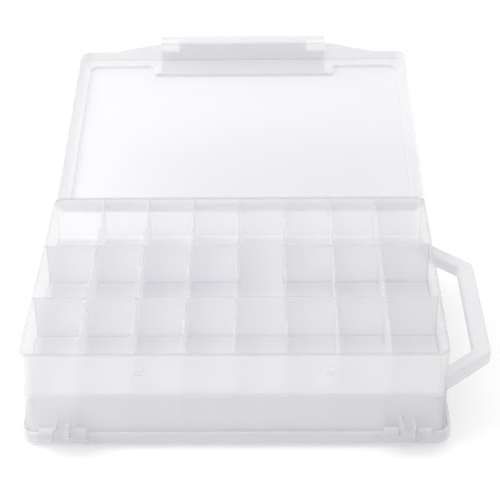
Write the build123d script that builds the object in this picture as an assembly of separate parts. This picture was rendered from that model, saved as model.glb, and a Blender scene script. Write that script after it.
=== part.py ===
from build123d import *
import math
import os

# Double-sided thread box: two divided trays back to back, a lid hinged on each side,
# a full-width latch on each lid and a fixed carrying handle at one end.
# Millimetres. +X towards the handle, +Y towards the upper lid's hinge, +Z up.
# The origin is the centre of the footprint, on the surface that the box stands on.

# Trays
tray_width = 300.0
tray_depth = 225.0
tray_height = 36.9
tray_corner = 8.0
tray_wall = 2.0
tray_floor = 2.0
tray_draft = 0.8
rim_round = 0.5
seam_round = 0.6

# Rows and columns
row_count = 3
row_wall = 1.6
row_wall_drop = 1.0
column_count = 8
end_margin = 4.0
open_column = 4

# Removable dividers and the ribs that hold them
divider_thick = 1.2
divider_drop = 1.5
slot_clearance = 0.3
slot_rib_width = 1.0
slot_rib_depth = 1.4
slot_rib_drop = 3.0
divider_finger_width = 22.0
divider_finger_depth = 1.2

# Lids
lid_overhang = 3.6
lid_plate = 2.0
lid_skirt_wall = 2.0
lid_skirt_drop = 8.5
lid_edge_round = 3.5
lid_gap = 0.4
crown_rise = 3.0
crown_margin = 9.0
crown_corner = 10.0
crown_edge_round = 1.0
crown_step_gap = 2.6
crown_step_side = 2.0
crown_step_round = 4.0
apron_from_side = 29.0
apron_drop = 17.8

# Lid hinges
hinge_out = 10.0
hinge_below_skirt = 3.9
hinge_from_side = 28.7
hinge_arm_width = 10.4
hinge_arm_barrel = 3.7
hinge_arm_chamfer = 1.2
hinge_side_gap = 1.4
hinge_ear_width = 10.0
hinge_ear_radius = 5.0
hinge_ear_gusset = 4.0
hinge_ear_gusset_depth = 2.5
hinge_peg_radius = 2.0
hinge_peg_length = 6.0
hinge_peg_clearance = 0.05
hinge_peg_end_gap = 0.5
hinge_rib_thick = 1.5
hinge_rib_reach = 12.0
hinge_rib_root = 8.0
lid_open_angle = 171.0
stop_gap = 0.3

# Catches on the trays
catch_below_skirt = 2.5
catch_height = 5.0
catch_width = 6.0
catch_reach = 2.4
catch_inset = 7.25

# Latches
latch_width = 152.5
latch_gap = 0.4
latch_recess = 0.2
latch_under_gap = 0.8
latch_end_block = 17.0
latch_pivot_inset = 20.0
latch_barrel_gap = 0.1
latch_peg_radius = 0.9
latch_peg_length = 2.4
latch_peg_clearance = 0.05
latch_peg_end_gap = 0.3
latch_lug_width = 3.5
latch_side_gap = 0.3
latch_lip = 3.7
hook_play = 1.1
hook_height = 3.2
hook_reach = 3.0
hook_end_inset = 1.0

# Handle
handle_reach = 35.8
handle_thick = 11.0
handle_sink = 1.5
handle_grip = 12.8
handle_arm = 12.0
handle_from_end = 15.2
handle_taper = 35.8
handle_outer_round = 9.0
handle_inner_round = 3.5
handle_edge_round = 2.5
anchor_thick = 2.0
anchor_neck = 8.0
anchor_head = 14.0
anchor_neck_length = 6.0
anchor_head_length = 5.0
anchor_clearance = 0.15

# How far a piece runs into its neighbour where the two are moulded as one
overlap = 1.0

# Levels and places worked out from the sizes above
lower_rim = crown_rise + lid_plate + lid_gap
seam = lower_rim + tray_height
upper_rim = seam + tray_height
half_width = tray_width / 2
half_depth = tray_depth / 2
slope = math.tan(math.radians(tray_draft))
floor_top = seam + tray_floor
row_pitch = tray_depth / row_count
column_pitch = (tray_width - 2 * end_margin) / column_count
plate_in = upper_rim + lid_gap
plate_out = plate_in + lid_plate
crown_out = plate_out + crown_rise
lid_half_width = half_width + lid_overhang
lid_half_depth = half_depth + lid_overhang
lid_corner = tray_corner + lid_overhang
skirt_low = upper_rim - lid_skirt_drop
hinge_y = half_depth + hinge_out
hinge_z = skirt_low - hinge_below_skirt
hinge_centre = half_width - hinge_from_side
latch_half = latch_width / 2
latch_thick = crown_rise - latch_recess - latch_under_gap
latch_barrel = crown_rise / 2 - latch_barrel_gap
crown_setback = latch_pivot_inset + latch_barrel + crown_step_gap
catch_centre = latch_half - latch_end_block + catch_inset
catch_high = skirt_low - catch_below_skirt
catch_low = catch_high - catch_height
hook_top = catch_low - hook_play
latch_tip = hook_top - hook_height - latch_lip
handle_middle = seam - handle_sink
handle_root_half = half_depth - handle_from_end
handle_bend_half = handle_root_half - handle_taper


def block(x_span, y_span, z_span):
    """A box between the given low and high values."""
    size = [span[1] - span[0] for span in (x_span, y_span, z_span)]
    middle = [(span[1] + span[0]) / 2 for span in (x_span, y_span, z_span)]
    return Pos(*middle) * Box(*size)


def rod(radius, x_span, y, z):
    """A cylinder along X."""
    middle = (x_span[0] + x_span[1]) / 2
    return Pos(middle, y, z) * Rot(0, 90, 0) * Cylinder(radius, x_span[1] - x_span[0])


def side_profile(points, x_span):
    """A closed outline of (y, z) points, extruded along X."""
    face = Plane(origin=(x_span[0], 0, 0), x_dir=(0, 1, 0), z_dir=(1, 0, 0)) * Polygon(*points, align=None)
    return extrude(face, amount=x_span[1] - x_span[0], dir=(1, 0, 0))


def front_profile(points, y_span):
    """A closed outline of (x, z) points, extruded along Y."""
    face = Plane(origin=(0, y_span[1], 0), x_dir=(1, 0, 0), z_dir=(0, -1, 0)) * Polygon(*points, align=None)
    return extrude(face, amount=y_span[1] - y_span[0], dir=(0, -1, 0))


def flip(shape):
    """Turn a piece of the upper side over to the lower side, half a turn about the box's X axis."""
    return Pos(0, 0, seam) * Rot(180, 0, 0) * Pos(0, 0, -seam) * shape


def wall_inset(z):
    """How far the drafted tray wall stands inside its rim line at height z."""
    return (upper_rim - z) * slope


# Trays


def drafted_block(width, depth, corner, height):
    """A rounded block that hangs from the rim plane and narrows downwards."""
    rim_plane = Plane(origin=(0, 0, upper_rim), x_dir=(1, 0, 0), z_dir=(0, 0, -1))
    return extrude(rim_plane * RectangleRounded(width, depth, corner), amount=height, taper=tray_draft)


def tray_shell():
    outer = drafted_block(tray_width, tray_depth, tray_corner, tray_height)
    outer = fillet(outer.edges().group_by(Axis.Z)[0], seam_round)
    inner_width = tray_width - 2 * tray_wall
    inner_depth = tray_depth - 2 * tray_wall
    shell = outer - drafted_block(inner_width, inner_depth, tray_corner - tray_wall, tray_height - tray_floor)
    return fillet(shell.edges().group_by(Axis.Z)[-1], rim_round)


def divider_places():
    """The X of every divider, from the handle's far side to the handle."""
    return [(n - column_count / 2) * column_pitch for n in range(1, column_count)]


def open_gap():
    """The span of X where the wall between the middle and back rows is left out."""
    slot_half = divider_thick / 2 + slot_clearance + slot_rib_width
    low = (open_column - column_count / 2) * column_pitch
    return low + slot_half, low + column_pitch - slot_half


def row_walls():
    top = upper_rim - row_wall_drop
    bite = tray_wall / 2
    end = half_width - bite - wall_inset(floor_top)
    y = row_pitch / 2
    gap = open_gap()
    spans = [(-1, -end, end), (1, -end, gap[0]), (1, gap[1], end)]
    walls = []
    for side, x_low, x_high in spans:
        y_span = (side * y - row_wall / 2, side * y + row_wall / 2)
        walls.append(block((x_low, x_high), y_span, (floor_top - tray_floor / 2, top)))
    return walls


def row_spans():
    """The inner Y span of the front, middle and back rows, measured at the floor."""
    wall_face = half_depth - tray_wall - wall_inset(floor_top)
    near = row_pitch / 2 - row_wall / 2
    far = row_pitch / 2 + row_wall / 2
    return {"front": (-wall_face, -far), "middle": (-near, near), "back": (far, wall_face)}


def slot_ribs():
    top = upper_rim - slot_rib_drop
    offset = divider_thick / 2 + slot_clearance + slot_rib_width / 2
    bite = row_wall / 4
    ribs = []
    for y_low, y_high in row_spans().values():
        for x in divider_places():
            for side in (-1, 1):
                centre = x + side * offset
                x_span = (centre - slot_rib_width / 2, centre + slot_rib_width / 2)
                z_span = (floor_top - tray_floor / 2, top)
                ribs.append(block(x_span, (y_low - bite, y_low + slot_rib_depth), z_span))
                ribs.append(block(x_span, (y_high - slot_rib_depth, y_high + bite), z_span))
    return ribs


def catches():
    """The two small ramps on the front wall that the latch hooks under."""
    inside = -half_depth + tray_wall / 2
    tip = -half_depth - catch_reach
    points = [(inside, catch_low), (tip, catch_low), (tip, catch_low + catch_height / 3), (inside, catch_high)]
    half = catch_width / 2
    return [side_profile(points, (x - half, x + half)) for x in (-catch_centre, catch_centre)]


def opened(y, z):
    """Where a point of the closed lid, given from the hinge axis, lies with the lid open."""
    turn = math.radians(lid_open_angle)
    return y * math.cos(turn) + z * math.sin(turn), -y * math.sin(turn) + z * math.cos(turn)


def hinge_arm(x):
    """One arm on the back wall: a barrel with two pegs, on two ribs that stop the open lid."""
    half = hinge_arm_width / 2
    root = -hinge_out - tray_wall / 2
    face = lid_overhang - hinge_out
    stop_high = opened(face - stop_gap, hinge_below_skirt)
    stop_low = opened(face - stop_gap, hinge_rib_reach)
    stop_high = (stop_high[0] - 2 * stop_gap, stop_high[1])
    stop_low = (stop_low[0] - 2 * stop_gap, stop_low[1])
    rib_top = hinge_arm_barrel - hinge_arm_chamfer
    rib = [
        (root, rib_top),
        (0, rib_top),
        (rib_top, 0),
        stop_high,
        stop_low,
        (root, -hinge_rib_root),
    ]
    rib = [(hinge_y + y, hinge_z + z) for y, z in rib]
    pieces = [rod(hinge_arm_barrel, (x - half, x + half), hinge_y, hinge_z)]
    pieces.append(side_profile(rib, (x - half, x - half + hinge_rib_thick)))
    pieces.append(side_profile(rib, (x + half - hinge_rib_thick, x + half)))
    web_z = (hinge_z - hinge_rib_thick / 2, hinge_z + hinge_rib_thick / 2)
    pieces.append(block((x - half, x + half), (hinge_y + root, hinge_y), web_z))
    pegs = (x - half - hinge_peg_length, x + half + hinge_peg_length)
    pieces.append(rod(hinge_peg_radius, pegs, hinge_y, hinge_z))
    return pieces


def anchor_outline(y, clearance):
    """The handle's T-shaped anchor in the seam, from outside the wall inwards."""
    outside = half_width + overlap
    neck_end = half_width - tray_wall - anchor_neck_length
    head_end = neck_end - anchor_head_length
    neck = anchor_neck / 2 + clearance
    head = anchor_head / 2 + clearance
    z_span = (seam - anchor_thick / 2, seam + anchor_thick / 2)
    stem = block((neck_end - clearance, outside), (y - neck, y + neck), z_span)
    return stem + block((head_end - clearance, neck_end + clearance), (y - head, y + head), z_span)


def anchor_places():
    middle = handle_root_half - handle_arm_spread() / 2
    return -middle, middle


def upper_tray():
    tray = tray_shell()
    additions = row_walls() + slot_ribs() + catches()
    for x in (-hinge_centre, hinge_centre):
        additions += hinge_arm(x)
    tray = tray.fuse(*additions)
    for y in anchor_places():
        tray = tray - anchor_outline(y, anchor_clearance)
    return tray


# Dividers


def upper_divider(row, x):
    """A thin plate whose ends follow the drafted walls, with a shallow finger dip on top."""
    y_low, y_high = row_spans()[row]
    top = upper_rim - divider_drop
    lean = (top - floor_top) * slope
    low_lean = lean if row == "front" else 0
    high_lean = lean if row == "back" else 0
    start = y_low + slot_clearance
    end = y_high - slot_clearance
    centre = (start + end) / 2
    dip = divider_finger_width / 2
    points = [
        (start, floor_top),
        (end, floor_top),
        (end + high_lean, top),
        (centre + dip, top),
        (centre + dip - 2 * divider_finger_depth, top - divider_finger_depth),
        (centre - dip + 2 * divider_finger_depth, top - divider_finger_depth),
        (centre - dip, top),
        (start - low_lean, top),
    ]
    return side_profile(points, (x - divider_thick / 2, x + divider_thick / 2))


# Handle


def handle_arm_spread():
    """The arm's width measured along the tray's side wall."""
    lean = math.atan2(handle_taper, handle_reach)
    return handle_arm / math.cos(lean)


def handle_loop(root_x, root_half, bend_x, bend_half):
    """The half-hexagon outline that both the outside and the inside of the handle follow."""
    return Polygon(
        (root_x, -root_half), (bend_x, -bend_half), (bend_x, bend_half), (root_x, root_half), align=None
    )


def handle():
    fall = handle_taper / handle_reach
    root_x = half_width - wall_inset(seam + handle_sink + handle_thick / 2)
    outer_x = half_width + handle_reach
    spread = handle_arm_spread()
    outer_root = handle_root_half + fall * (half_width - root_x)
    inner_bend = handle_bend_half + fall * handle_grip - spread
    outside = handle_loop(root_x, outer_root, outer_x, handle_bend_half)
    outside = fillet(outside.vertices().group_by(Axis.X)[-1], handle_outer_round)
    inner_root = outer_root - spread + fall * overlap
    inside = handle_loop(root_x - overlap, inner_root, outer_x - handle_grip, inner_bend)
    inside = fillet(inside.vertices().group_by(Axis.X)[-1], handle_inner_round)
    loop = extrude(Pos(0, 0, handle_middle - handle_thick / 2) * (outside - inside), amount=handle_thick)
    faces = loop.faces().filter_by(Axis.Z)
    root = loop.edges().filter_by(lambda edge: edge.center().X < half_width)
    loop = fillet([edge for edge in faces.edges() if edge not in root], handle_edge_round)
    for y in anchor_places():
        loop = loop + anchor_outline(y, 0)
    return loop


# Lids


def crown_outline(inset):
    """The raised panel's outline: a rounded rectangle, set back over the width of the latch."""
    x = lid_half_width - crown_margin - inset
    back = lid_half_depth - crown_margin - inset
    front = -lid_half_depth + crown_margin + inset
    step = -lid_half_depth + crown_setback + inset
    notch = latch_half + latch_side_gap + latch_lug_width + crown_step_side + inset
    points = [
        (-x, back), (-x, front), (-notch, front), (-notch, step),
        (notch, step), (notch, front), (x, front), (x, back),
    ]
    outline = Polygon(*points, align=None)
    corners = outline.vertices().filter_by(lambda v: abs(v.X) > (x + notch) / 2)
    outline = fillet(corners, crown_corner - inset)
    steps = outline.vertices().filter_by(lambda v: abs(v.X) < notch + crown_step_side)
    return fillet(steps, crown_step_round)


def lid_shell():
    outer = RectangleRounded(2 * lid_half_width, 2 * lid_half_depth, lid_corner)
    shell = extrude(Pos(0, 0, skirt_low) * outer, amount=plate_out - skirt_low)
    shell = fillet(shell.edges().group_by(Axis.Z)[-1], lid_edge_round)
    inner_width = 2 * (lid_half_width - lid_skirt_wall)
    inner_depth = 2 * (lid_half_depth - lid_skirt_wall)
    inner = RectangleRounded(inner_width, inner_depth, lid_corner - lid_skirt_wall)
    shell = shell - extrude(Pos(0, 0, skirt_low) * inner, amount=plate_in - skirt_low)
    crown = extrude(Pos(0, 0, plate_in) * crown_outline(0), amount=crown_out - plate_in)
    crown = fillet(crown.edges().group_by(Axis.Z)[-1], crown_edge_round)
    shell = shell + crown
    pocket = Pos(0, 0, plate_in) * crown_outline(lid_plate)
    return shell - extrude(pocket, amount=crown_rise)


def apron():
    """The front skirt runs deeper behind the latch, with a notch for each catch."""
    end = half_width - apron_from_side
    low = upper_rim - apron_drop
    notch = latch_half - latch_end_block
    top = skirt_low + overlap
    points = [
        (-end, skirt_low), (-end, top), (end, top), (end, skirt_low),
        (latch_half, low), (latch_half, skirt_low), (notch, skirt_low), (notch, low),
        (-notch, low), (-notch, skirt_low), (-latch_half, skirt_low), (-latch_half, low),
    ]
    return front_profile(points, (-lid_half_depth, -lid_half_depth + lid_skirt_wall))


def hinge_ear(x_low):
    """One ear on the back skirt: a barrel round the hinge axis on a gusseted root."""
    x_span = (x_low, x_low + hinge_ear_width)
    root = lid_half_depth - lid_skirt_wall
    barrel = rod(hinge_ear_radius, x_span, hinge_y, hinge_z)
    arm = block(x_span, (root, hinge_y), (hinge_z, hinge_z + hinge_ear_radius))
    gusset_y = (root, lid_half_depth + hinge_ear_gusset_depth)
    gusset_z = (hinge_z, hinge_z + hinge_ear_radius + hinge_ear_gusset)
    return barrel + arm + block(x_span, gusset_y, gusset_z)


def hinge_ears():
    ears = []
    for x in (-hinge_centre, hinge_centre):
        near = hinge_arm_width / 2 + hinge_side_gap
        ears.append(hinge_ear(x + near))
        ears.append(hinge_ear(x - near - hinge_ear_width))
    return ears


def hinge_bores():
    reach = hinge_arm_width / 2 + hinge_peg_length + hinge_peg_end_gap
    radius = hinge_peg_radius + hinge_peg_clearance
    return [rod(radius, (x - reach, x + reach), hinge_y, hinge_z) for x in (-hinge_centre, hinge_centre)]


def latch_pivot():
    """The (y, z) of the latch's pivot axis."""
    return -lid_half_depth + latch_pivot_inset, plate_out + crown_rise / 2


def latch_lugs():
    y, z = latch_pivot()
    near = latch_half + latch_side_gap
    half = crown_rise / 2
    lugs = []
    for side in (-1, 1):
        x_span = sorted((side * near, side * (near + latch_lug_width)))
        root = block(x_span, (y - half, y + half), (plate_out - overlap, z))
        lugs.append(rod(half, x_span, y, z) + root)
    return lugs


def latch_bores():
    y, z = latch_pivot()
    reach = latch_half + latch_peg_length + latch_peg_end_gap
    return rod(latch_peg_radius + latch_peg_clearance, (-reach, reach), y, z)


def closed_lid():
    lid = lid_shell()
    lid = lid.fuse(apron(), *hinge_ears(), *latch_lugs())
    lid = lid - latch_bores()
    for bore in hinge_bores():
        lid = lid - bore
    return lid


# Latches


def closed_latch():
    """A full-width angle: a flange in the lid's setback and a tongue down the front."""
    pivot_y, pivot_z = latch_pivot()
    x_span = (-latch_half, latch_half)
    inner = -lid_half_depth - latch_gap
    outer = inner - latch_thick
    top = crown_out - latch_recess
    points = [
        (pivot_y, top - latch_thick), (inner, top - latch_thick), (inner, latch_tip),
        (outer, latch_tip), (outer, top), (pivot_y, top),
    ]
    latch = side_profile(points, x_span)
    corner = latch.edges().filter_by(Axis.X).sort_by_distance((0, outer, top))[0]
    latch = fillet(corner, latch_thick)
    latch = latch + rod(latch_barrel, x_span, pivot_y, pivot_z)
    back = inner - latch_thick / 2
    face = inner + hook_reach
    hook = [
        (back, hook_top), (face, hook_top),
        (face, hook_top - hook_height / 3), (back, hook_top - hook_height),
    ]
    hook_length = latch_end_block - 2 * hook_end_inset
    for x in (-latch_half + hook_end_inset, latch_half - hook_end_inset - hook_length):
        latch = latch + side_profile(hook, (x, x + hook_length))
    pegs = (-latch_half - latch_peg_length, latch_half + latch_peg_length)
    return latch + rod(latch_peg_radius, pegs, pivot_y, pivot_z)


def open_up(shape):
    """Swing a piece of the closed upper lid to where the lid stands open."""
    return Pos(0, hinge_y, hinge_z) * Rot(-lid_open_angle, 0, 0) * Pos(0, -hinge_y, -hinge_z) * shape


def write(name, shape):
    shape.label = name
    export_step(shape, os.path.join("parts", name + ".step"))


def main():
    os.makedirs("parts", exist_ok=True)
    tray = upper_tray()
    write("upper_tray", tray)
    write("lower_tray", flip(tray))
    write("handle", handle())
    lid = closed_lid()
    write("top_lid", open_up(lid))
    write("bottom_lid", flip(lid))
    latch = closed_latch()
    write("top_latch", open_up(latch))
    write("bottom_latch", flip(latch))
    for row in ("front", "middle", "back"):
        for number, x in enumerate(divider_places(), 1):
            divider = upper_divider(row, x)
            write(f"upper_divider_{row}_{number}", divider)
            write(f"lower_divider_{row}_{number}", flip(divider))


main()
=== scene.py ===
import math
import bpy
from mathutils import Matrix, Vector


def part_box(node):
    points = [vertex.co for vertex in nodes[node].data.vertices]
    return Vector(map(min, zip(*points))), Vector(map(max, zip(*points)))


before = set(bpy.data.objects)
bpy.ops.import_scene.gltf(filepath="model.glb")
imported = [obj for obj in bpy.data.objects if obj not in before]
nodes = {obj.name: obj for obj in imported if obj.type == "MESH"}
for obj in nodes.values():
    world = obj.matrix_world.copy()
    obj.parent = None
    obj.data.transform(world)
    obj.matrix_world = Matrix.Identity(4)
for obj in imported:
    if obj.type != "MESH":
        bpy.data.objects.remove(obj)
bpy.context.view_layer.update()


# ---------------------------------------------------------------- the studio
# A plain white sweep under soft, even light. The sheet is matt white paper, so the box
# stands on a clean ground with only a faint shadow round its foot.

paper_size = 12.0
paper_white = (0.92, 0.92, 0.92, 1.0)
paper_glow = 0.24
wall_light = 0.27
ceiling_light = 1.05
brightest_way = (-0.20, 0.40, 0.89)
fade_start = -0.6
room_tint = (1.0, 1.0, 1.0, 1.0)
backdrop_white = (1.0, 1.0, 1.0, 1.0)
backdrop_strength = 1.0


def seen_directly(tree):
    """1 for rays that look at a thing straight, in a reflection or through clear plastic."""
    path = tree.nodes.new("ShaderNodeLightPath")
    either = tree.nodes.new("ShaderNodeMath")
    either.operation = "MAXIMUM"
    tree.links.new(path.outputs["Is Camera Ray"], either.inputs[0])
    tree.links.new(path.outputs["Is Glossy Ray"], either.inputs[1])
    all_three = tree.nodes.new("ShaderNodeMath")
    all_three.operation = "MAXIMUM"
    tree.links.new(either.outputs[0], all_three.inputs[0])
    tree.links.new(path.outputs["Is Transmission Ray"], all_three.inputs[1])
    return all_three.outputs[0]


def paper_material():
    """Matt white paper, with a little glow that only a straight look sees."""
    material = bpy.data.materials.new("white_paper")
    material.use_nodes = True
    tree = material.node_tree
    tree.nodes.clear()
    matt = tree.nodes.new("ShaderNodeBsdfDiffuse")
    matt.inputs["Color"].default_value = paper_white
    glow = tree.nodes.new("ShaderNodeEmission")
    glow.inputs["Strength"].default_value = paper_glow
    lit = tree.nodes.new("ShaderNodeAddShader")
    tree.links.new(matt.outputs[0], lit.inputs[0])
    tree.links.new(glow.outputs[0], lit.inputs[1])
    mix = tree.nodes.new("ShaderNodeMixShader")
    tree.links.new(seen_directly(tree), mix.inputs["Fac"])
    tree.links.new(matt.outputs[0], mix.inputs[1])
    tree.links.new(lit.outputs[0], mix.inputs[2])
    out = tree.nodes.new("ShaderNodeOutputMaterial")
    tree.links.new(mix.outputs[0], out.inputs["Surface"])
    return material


paper_mesh = bpy.data.meshes.new("paper")
half = paper_size / 2
paper_mesh.from_pydata(
    [(-half, -half, 0), (half, -half, 0), (half, half, 0), (-half, half, 0)], [], [(0, 1, 2, 3)]
)
paper = bpy.data.objects.new("paper", paper_mesh)
paper.data.materials.append(paper_material())
bpy.context.scene.collection.objects.link(paper)

room = bpy.data.worlds.new("white_room")
room.use_nodes = True
bpy.context.scene.world = room
room_tree = room.node_tree
room_tree.nodes.clear()
facing = room_tree.nodes.new("ShaderNodeTexCoord")
toward = room_tree.nodes.new("ShaderNodeVectorMath")
toward.operation = "DOT_PRODUCT"
toward.inputs[1].default_value = brightest_way
room_tree.links.new(facing.outputs["Generated"], toward.inputs[0])
fade = room_tree.nodes.new("ShaderNodeMapRange")
fade.inputs["From Min"].default_value = fade_start
fade.inputs["To Min"].default_value = wall_light
fade.inputs["To Max"].default_value = ceiling_light
room_tree.links.new(toward.outputs["Value"], fade.inputs["Value"])
lighting = room_tree.nodes.new("ShaderNodeBackground")
lighting.inputs["Color"].default_value = room_tint
room_tree.links.new(fade.outputs[0], lighting.inputs["Strength"])
backdrop = room_tree.nodes.new("ShaderNodeBackground")
backdrop.inputs["Color"].default_value = backdrop_white
backdrop.inputs["Strength"].default_value = backdrop_strength
room_mix = room_tree.nodes.new("ShaderNodeMixShader")
room_tree.links.new(seen_directly(room_tree), room_mix.inputs["Fac"])
room_tree.links.new(lighting.outputs[0], room_mix.inputs[1])
room_tree.links.new(backdrop.outputs[0], room_mix.inputs[2])
room_out = room_tree.nodes.new("ShaderNodeOutputWorld")
room_tree.links.new(room_mix.outputs[0], room_out.inputs["Surface"])

main_power = 10.8
main_size = 1.3
main_place = Vector((-1.15, -0.05, 1.3))
back_power = 3.0
back_size = 0.8
back_place = Vector((-1.25, 1.0, 1.1))
box_middle = Vector((0.0, 0.0, 0.05))


def softbox(name, power, size, place):
    """A square of soft light, aimed at the middle of the box."""
    light = bpy.data.lights.new(name, "AREA")
    light.shape = "SQUARE"
    light.size = size
    light.energy = power
    lamp = bpy.data.objects.new(name, light)
    lamp.location = place
    lamp.rotation_euler = (box_middle - place).to_track_quat("-Z", "Y").to_euler()
    bpy.context.scene.collection.objects.link(lamp)


softbox("main_softbox", main_power, main_size, main_place)
softbox("back_softbox", back_power, back_size, back_place)


# ---------------------------------------------------------------- the viewpoint
# A viewer about a metre in front of the box and 70 cm above the table, a little to the
# right of the middle, looking down into the open tray.

image_width = 500
focal_pixels = 1574.1
sensor_width = 36.0
eye = Vector((0.02748, -1.00738, 0.69538))
look_down = math.radians(30.754)
look_aside = math.radians(-0.979)
head_tilt = math.radians(-0.712)

forward = Vector((
    math.sin(look_aside) * math.cos(look_down),
    math.cos(look_aside) * math.cos(look_down),
    -math.sin(look_down),
))
level_right = Vector((math.cos(look_aside), -math.sin(look_aside), 0.0))
level_up = level_right.cross(forward)
right = math.cos(head_tilt) * level_right + math.sin(head_tilt) * level_up
up = -math.sin(head_tilt) * level_right + math.cos(head_tilt) * level_up

camera_data = bpy.data.cameras.new("camera")
camera_data.sensor_fit = "HORIZONTAL"
camera_data.sensor_width = sensor_width
camera_data.lens = sensor_width * focal_pixels / image_width
camera = bpy.data.objects.new("camera", camera_data)
turn = Matrix((right, up, -forward)).transposed().to_4x4()
camera.matrix_world = Matrix.Translation(eye) @ turn
bpy.context.scene.collection.objects.link(camera)
bpy.context.scene.camera = camera


# ---------------------------------------------------------------- the two trays
# Injection-moulded polypropylene, left its natural milky colour. The walls are two
# millimetres thick, so they cloud what is behind them and pale light comes through.
# Painted shade darkens the rims and the end walls, and the catches and hinge arms are toned greyer.

tray_milk = (0.996, 0.990, 1.000)
tray_cloudiness = 0.38
tray_roughness = 0.3
tray_peel = 0.15
tray_seed = 0.0
tray_half_width = 0.1500
tray_half_depth = 0.1125
# The end walls are darkened as painted shade against the light falling on them.
end_wall_reach = 0.0034
painted_end_wall_shade = 0.83
# The rim band is darkened as painted shade along the tray rims.
rim_band = 0.0016
painted_rim_shade = 0.70
shade_blend = 0.0008
# The catches and hinge arms outside the long walls are toned greyer than the walls.
boss_start = 0.0002
boss_shade = 0.86
plastic_ior = 1.49
cloud_scale = 7.0
cloud_detail = 1.0
cloud_low = 0.2
cloud_high = 0.8
cloud_tint = (0.994, 0.995, 1.0)
haze_scale = 25.0
haze_detail = 3.0
duller = 1.15
glossier = 0.85
peel_scale = 420.0
peel_detail = 2.0
peel_depth = 0.0002


def milky_plastic(name, milk, cloudiness, roughness, peel, seed):
    """Natural polypropylene: how white, how cloudy, how glossy, with flow marks and orange peel."""
    material = bpy.data.materials.new(name)
    material.use_nodes = True
    tree = material.node_tree
    plastic = tree.nodes["Principled BSDF"]
    plastic.inputs["IOR"].default_value = plastic_ior
    plastic.inputs["Alpha"].default_value = cloudiness

    where = tree.nodes.new("ShaderNodeTexCoord")
    moved = tree.nodes.new("ShaderNodeVectorMath")
    moved.operation = "ADD"
    moved.inputs[1].default_value = (seed, 2 * seed, 3 * seed)
    tree.links.new(where.outputs["Object"], moved.inputs[0])

    clouds = tree.nodes.new("ShaderNodeTexNoise")
    clouds.inputs["Scale"].default_value = cloud_scale
    clouds.inputs["Detail"].default_value = cloud_detail
    tree.links.new(moved.outputs[0], clouds.inputs["Vector"])
    milks = tree.nodes.new("ShaderNodeValToRGB")
    milks.color_ramp.interpolation = "EASE"
    milks.color_ramp.elements[0].position = cloud_low
    milks.color_ramp.elements[0].color = (*(a * b for a, b in zip(milk, cloud_tint)), 1)
    milks.color_ramp.elements[1].position = cloud_high
    milks.color_ramp.elements[1].color = (*milk, 1)
    tree.links.new(clouds.outputs["Fac"], milks.inputs["Fac"])
    tree.links.new(milks.outputs[0], plastic.inputs["Base Color"])

    haze = tree.nodes.new("ShaderNodeTexNoise")
    haze.inputs["Scale"].default_value = haze_scale
    haze.inputs["Detail"].default_value = haze_detail
    tree.links.new(moved.outputs[0], haze.inputs["Vector"])
    gloss = tree.nodes.new("ShaderNodeMapRange")
    gloss.inputs["To Min"].default_value = roughness * glossier
    gloss.inputs["To Max"].default_value = roughness * duller
    tree.links.new(haze.outputs["Fac"], gloss.inputs["Value"])
    tree.links.new(gloss.outputs[0], plastic.inputs["Roughness"])

    skin = tree.nodes.new("ShaderNodeTexNoise")
    skin.inputs["Scale"].default_value = peel_scale
    skin.inputs["Detail"].default_value = peel_detail
    tree.links.new(moved.outputs[0], skin.inputs["Vector"])
    bump = tree.nodes.new("ShaderNodeBump")
    bump.inputs["Strength"].default_value = peel
    bump.inputs["Distance"].default_value = peel_depth
    tree.links.new(skin.outputs["Fac"], bump.inputs["Height"])
    tree.links.new(bump.outputs[0], plastic.inputs["Normal"])
    return material


def mould(node, material):
    """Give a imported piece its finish."""
    piece = nodes[node]
    piece.data.materials.clear()
    piece.data.materials.append(material)


def shade_past(material, way, middle, start, shade):
    """Paint a tone into the plastic past a distance from a middle plane: greyer below 1, paler over
    1.
    """
    tree = material.node_tree
    plastic = tree.nodes["Principled BSDF"]
    milk = plastic.inputs["Base Color"].links[0].from_socket
    where = tree.nodes.new("ShaderNodeTexCoord")
    along = tree.nodes.new("ShaderNodeVectorMath")
    along.operation = "DOT_PRODUCT"
    along.inputs[1].default_value = way
    tree.links.new(where.outputs["Object"], along.inputs[0])
    from_middle = tree.nodes.new("ShaderNodeMath")
    from_middle.operation = "SUBTRACT"
    from_middle.inputs[1].default_value = middle
    tree.links.new(along.outputs["Value"], from_middle.inputs[0])
    distance = tree.nodes.new("ShaderNodeMath")
    distance.operation = "ABSOLUTE"
    tree.links.new(from_middle.outputs[0], distance.inputs[0])
    edge = tree.nodes.new("ShaderNodeMapRange")
    edge.inputs["From Min"].default_value = start
    edge.inputs["From Max"].default_value = start + shade_blend
    tree.links.new(distance.outputs[0], edge.inputs["Value"])
    shaded = tree.nodes.new("ShaderNodeMix")
    shaded.data_type = "RGBA"
    shaded.blend_type = "MULTIPLY"
    shaded.inputs["B"].default_value = (shade, shade, shade, 1)
    tree.links.new(edge.outputs[0], shaded.inputs["Factor"])
    tree.links.new(milk, shaded.inputs["A"])
    tree.links.new(shaded.outputs["Result"], plastic.inputs["Base Color"])


tray_plastic = milky_plastic(
    "tray_plastic", tray_milk, tray_cloudiness, tray_roughness, tray_peel, tray_seed
)
up_wall = (0.0, 0.0, 1.0)
front_to_back = (0.0, 1.0, 0.0)
end_to_end = (1.0, 0.0, 0.0)
seam_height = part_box("upper_tray")[0].z
rim_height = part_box("upper_tray")[1].z
# Painted shade on the rims, then greyer catches and hinge arms outside the long walls, then painted
# shade on the end walls
shade_past(tray_plastic, up_wall, seam_height, rim_height - seam_height - rim_band, painted_rim_shade)
shade_past(tray_plastic, front_to_back, 0.0, tray_half_depth + boss_start, boss_shade)
shade_past(tray_plastic, end_to_end, 0.0, tray_half_width - end_wall_reach, painted_end_wall_shade)
for tray in ("upper_tray", "lower_tray"):
    mould(tray, tray_plastic)


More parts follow.
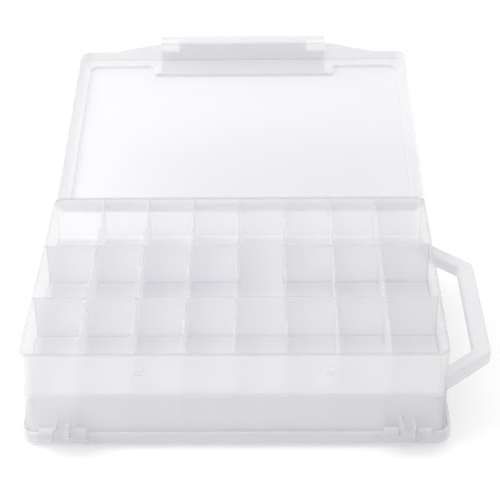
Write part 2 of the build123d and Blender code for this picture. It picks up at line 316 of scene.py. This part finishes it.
# ---------------------------------------------------------------- the dividers
# Thin sheets of the same plastic, twenty-one to a tray, dropped into the ribs on the
# row walls. They lift out to join two cells into one.

# The dividers' colour is darker than the trays' as painted shade between the cells.
divider_milk_with_painted_shade = (0.975, 0.970, 0.992)
divider_cloudiness = 0.32
divider_roughness = 0.32
divider_peel = 0.15
divider_seed = 1.7
painted_divider_top_shade = 0.80
divider_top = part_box("upper_divider_front_1")[1].z
divider_rise = divider_top - seam_height - rim_band
divider_plastic = milky_plastic(
    "divider_plastic", divider_milk_with_painted_shade, divider_cloudiness,
    divider_roughness, divider_peel, divider_seed,
)
# Painted shade greys the divider tops, which face up into the light.
shade_past(divider_plastic, up_wall, seam_height, divider_rise, painted_divider_top_shade)
for node in nodes:
    if "_divider_" in node:
        mould(node, divider_plastic)


# ---------------------------------------------------------------- the carrying handle
# A solid loop of the same polypropylene, moulded thick for strength, so it looks denser
# than the thin walls. Its two T-shaped anchors are held in the seam between the trays.

handle_milk = (0.885, 0.880, 0.901)
handle_cloudiness = 0.55
handle_roughness = 0.35
handle_peel = 0.2
handle_seed = 3.1
handle_plastic = milky_plastic(
    "handle_plastic", handle_milk, handle_cloudiness, handle_roughness, handle_peel, handle_seed
)
mould("handle", handle_plastic)


# ---------------------------------------------------------------- the two lids
# One thin moulding each: a raised panel, a rolled edge, a skirt and four hinge ears that
# turn on the trays' pegs. Painted light makes the open lid's skirt paler than its plate;
# painted shade greys the lower lid's thick ears, and darkens both lids' colour below the trays'.

# The open lid's colour is darker than the trays' plastic as painted shade.
lid_milk_with_painted_shade = (0.790, 0.785, 0.808)
lid_cloudiness = 0.46
lid_roughness = 0.24
lid_peel = 0.12
lid_seed = 4.9
lid_tilt = math.radians(171)
lid_hinge = Vector((0.0, 0.1225, 0.0668))
panel_height = 0.0178
skirt_start = 0.0050
painted_skirt_light = 1.16
lid_plastic = milky_plastic(
    "lid_plastic", lid_milk_with_painted_shade, lid_cloudiness, lid_roughness, lid_peel, lid_seed
)
lid_outward = Vector((0.0, math.sin(lid_tilt), math.cos(lid_tilt)))
panel_level = lid_hinge.dot(lid_outward) + panel_height
# Painted light makes the open lid's skirt paler, against the shade between it and the latch.
shade_past(lid_plastic, lid_outward, panel_level, skirt_start, painted_skirt_light)
mould("top_lid", lid_plastic)

# The lower lid's colour is darker than the trays' plastic as painted shade, for the shade under the
# box.
base_milk_with_painted_shade = (0.940, 0.935, 0.956)
base_cloudiness = 0.50
base_roughness = 0.26
base_peel = 0.12
base_seed = 5.5
ear_start = 0.1165
painted_ear_shade = 0.88
base_plastic = milky_plastic(
    "base_plastic", base_milk_with_painted_shade, base_cloudiness, base_roughness, base_peel, base_seed
)
# Painted shade greys the hinge ears in front of the lower lid's skirt.
shade_past(base_plastic, front_to_back, 0.0, ear_start, painted_ear_shade)
mould("bottom_lid", base_plastic)


# ---------------------------------------------------------------- the latches
# A long angle of the same plastic that turns on two small pegs in the lid's lugs. Its
# lip snaps down over the catches on the front wall of its tray.

latch_milk = (0.905, 0.900, 0.920)
latch_cloudiness = 0.38
latch_roughness = 0.26
latch_peel = 0.12
latch_seed = 6.3
latch_plastic = milky_plastic(
    "latch_plastic", latch_milk, latch_cloudiness, latch_roughness, latch_peel, latch_seed
)
for latch in ("top_latch", "bottom_latch"):
    mould(latch, latch_plastic)


# ---------------------------------------------------------------- finishing
# Light passes through many walls of the box before it leaves, so it may cross that many
# faces here, and colours are shown plainly.

light_bounces = 24
clear_crossings = 64

scene = bpy.context.scene
scene.view_settings.view_transform = "Standard"
scene.cycles.max_bounces = light_bounces
scene.cycles.transmission_bounces = light_bounces
scene.cycles.diffuse_bounces = light_bounces
scene.cycles.transparent_max_bounces = clear_crossings
